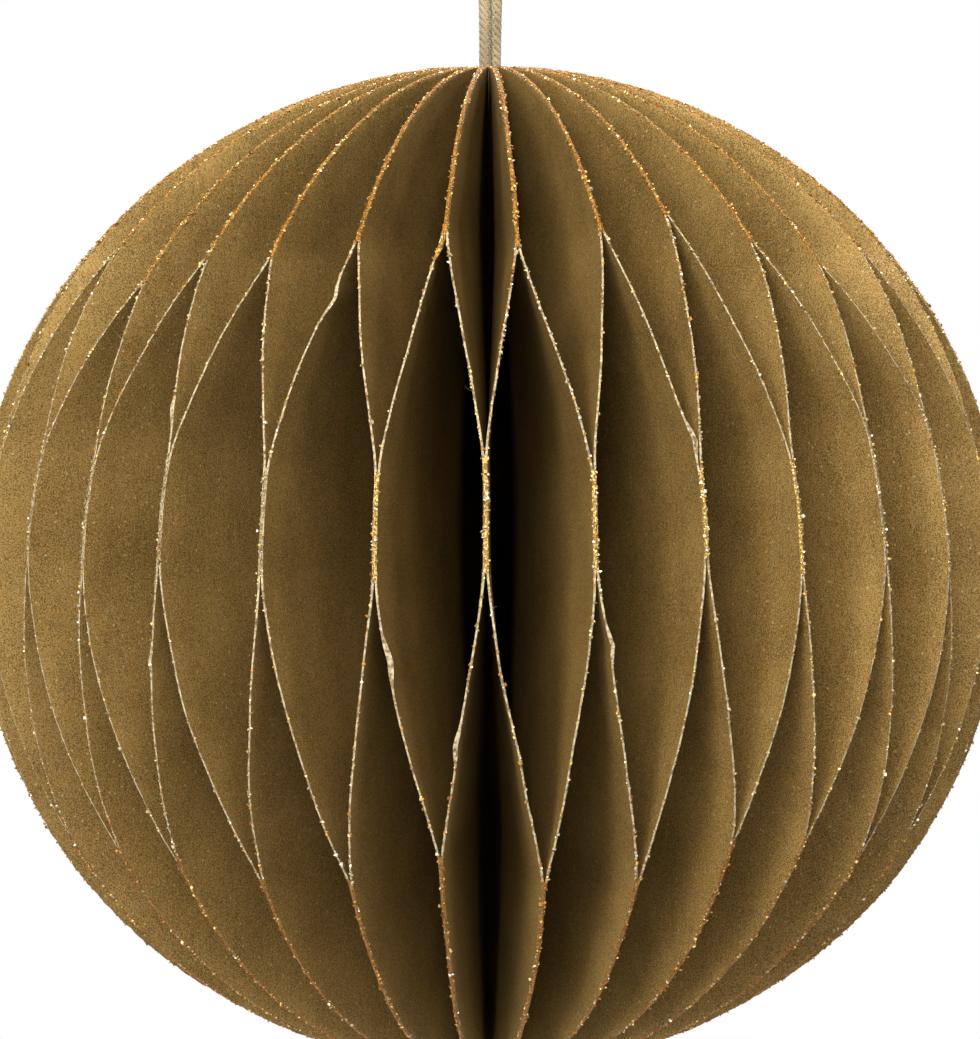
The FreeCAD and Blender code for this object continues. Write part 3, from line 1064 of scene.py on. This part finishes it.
class PAPERBALL_OT_cord(bpy.types.Operator):
    """Braid the cord along its route: up through the core, over the loop and back"""
    bl_idname = "paperball.cord"
    bl_label = "Hanging cord"

    def execute(self, context):
        sizes = context.scene.paper_ball_sizes
        line = route_line([tuple(value * MM for value in point) for point in CORD_ROUTE])
        line, _ = even_line(line, 0.25 * MM)
        points, faces = braid(line)
        cord = new_piece("cord_braid", points, faces, [braided_cotton()])
        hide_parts("hanging_cord")
        fit_to_root(cord)
        seen = line[line[:, 2] > 47 * MM]
        fuzz_points, fuzz_faces = hairs(seen, 1100, np.random.default_rng(41), sizes.fuzz_length,
                                        0.45 * sizes.cord_diameter, 0.016 * MM)
        fuzz = new_piece("cord_fuzz", fuzz_points, fuzz_faces, [braided_cotton()])
        fit_to_root(fuzz)
        return {"FINISHED"}


class PAPERBALL_OT_stage(bpy.types.Operator):
    """Set up the floor, the soft studio light and the camera of the photograph"""
    bl_idname = "paperball.stage"
    bl_label = "Stage"

    def execute(self, context):
        build_floor(context.scene.paper_ball_sizes.floor_drop)
        light_world()
        for studio_light in STUDIO_LIGHTS:
            add_light(*studio_light)
        add_camera()
        return {"FINISHED"}


# Stage

# Soft boxes, all 1.8 m from the ball: name, azimuth from the front and elevation in degrees, width and
# height in metres, and power in watts.
STUDIO_LIGHTS = (
    ("key", -21.0, 34.0, 1.1, 0.5, 47.0),
    ("low", -30.0, 12.0, 0.5, 0.5, 17.0),
    ("top", 4.0, 56.0, 0.9, 0.5, 38.0),
    ("right", 48.0, 30.0, 0.5, 0.5, 9.0),
    ("front", 0.0, 4.0, 0.2, 0.2, 8.0),
    ("back", 180.0, 34.0, 1.6, 0.7, 40.0),
)
LIGHT_DISTANCE = 1.8
# How much light the white paper all round gives, against how bright it looks.
PAPER_LIGHT, PAPER_BRIGHTNESS = 0.075, 1.0
FLOOR_RADIUS, FLOOR_CORNERS = 2.4, 96


def add_light(name, azimuth, elevation, width, height, power):
    light = bpy.data.lights.new(name, "AREA")
    light.shape = "RECTANGLE"
    light.size, light.size_y = width, height
    light.energy = power
    lamp = bpy.data.objects.new(name, light)
    turn, rise = math.radians(azimuth), math.radians(elevation)
    away = Vector((math.sin(turn) * math.cos(rise), -math.cos(turn) * math.cos(rise), math.sin(rise)))
    lamp.location = away * LIGHT_DISTANCE
    lamp.rotation_mode = "QUATERNION"
    lamp.rotation_quaternion = (-away).to_track_quat("-Z", "Y")
    bpy.context.scene.collection.objects.link(lamp)


def light_world():
    """White paper all round, as the photograph's background, that gives only a little light of its own."""
    scene = bpy.context.scene
    world = bpy.data.worlds.new("white paper")
    world.use_nodes = True
    tree = world.node_tree
    seen = add_node(tree, "ShaderNodeLightPath").outputs["Is Camera Ray"]
    strength = add_node(tree, "ShaderNodeMapRange", {"To Min": PAPER_LIGHT, "To Max": PAPER_BRIGHTNESS},
                        {"Value": seen})
    background = tree.nodes["Background"]
    background.inputs["Color"].default_value = (1.0, 1.0, 1.0, 1.0)
    tree.links.new(strength.outputs["Result"], background.inputs["Strength"])
    scene.world = world
    scene.view_settings.view_transform = "Standard"


def build_floor(drop):
    turns = [2 * math.pi * corner / FLOOR_CORNERS for corner in range(FLOOR_CORNERS)]
    ring = [(FLOOR_RADIUS * math.cos(turn), FLOOR_RADIUS * math.sin(turn), -drop) for turn in turns]
    mesh = bpy.data.meshes.new("floor")
    mesh.from_pydata(ring, [], [tuple(range(FLOOR_CORNERS))])
    mesh.materials.append(painted_board())
    floor = bpy.data.objects.new("floor", mesh)
    bpy.context.scene.collection.objects.link(floor)


CAMERA_PLACE = (0.0, -0.4489, 0.0314)
CAMERA_TARGET = (0.0001, 0.0, 0.0046)
# The photograph is 1039 pixels high, and its focal length as fitted is 4615 of them.
CAMERA_LENS = 4615 / 1039 * 36.0


def add_camera():
    data = bpy.data.cameras.new("camera")
    data.sensor_width = 36.0
    data.lens = CAMERA_LENS
    data.clip_start, data.clip_end = 0.01, 20.0
    camera = bpy.data.objects.new("camera", data)
    camera.location = CAMERA_PLACE
    camera.rotation_mode = "QUATERNION"
    camera.rotation_quaternion = (Vector(CAMERA_TARGET) - Vector(CAMERA_PLACE)).to_track_quat("-Z", "Y")
    bpy.context.scene.collection.objects.link(camera)
    bpy.context.scene.camera = camera


OPERATORS = (PAPERBALL_OT_leaves, PAPERBALL_OT_glitter, PAPERBALL_OT_glue, PAPERBALL_OT_knot,
             PAPERBALL_OT_cord, PAPERBALL_OT_stage)


class PAPERBALL_PT_panel(bpy.types.Panel):
    """The paper ball's sizes, colours and pieces"""
    bl_idname = "PAPERBALL_PT_panel"
    bl_label = "Paper ball"
    bl_space_type = "VIEW_3D"
    bl_region_type = "UI"
    bl_category = "Paper ball"

    def draw(self, context):
        for group in (context.scene.paper_ball_sizes, context.scene.paper_ball_colours):
            column = self.layout.column()
            for name in group.__annotations__:
                column.prop(group, name)
        for operator in OPERATORS:
            self.layout.operator(operator.bl_idname)


CLASSES = (PaperBallSizes, PaperBallColours) + OPERATORS + (PAPERBALL_PT_panel,)


def register():
    for cls in CLASSES:
        bpy.utils.register_class(cls)
    bpy.types.Scene.paper_ball_sizes = bpy.props.PointerProperty(type=PaperBallSizes)
    bpy.types.Scene.paper_ball_colours = bpy.props.PointerProperty(type=PaperBallColours)


def unregister():
    del bpy.types.Scene.paper_ball_colours
    del bpy.types.Scene.paper_ball_sizes
    for cls in reversed(CLASSES):
        bpy.utils.unregister_class(cls)


def main():
    register()
    bpy.ops.paperball.leaves()
    bpy.ops.paperball.glitter()
    bpy.ops.paperball.glue()
    bpy.ops.paperball.knot()
    bpy.ops.paperball.cord()
    bpy.ops.paperball.stage()


if __name__ == "__main__":
    main()
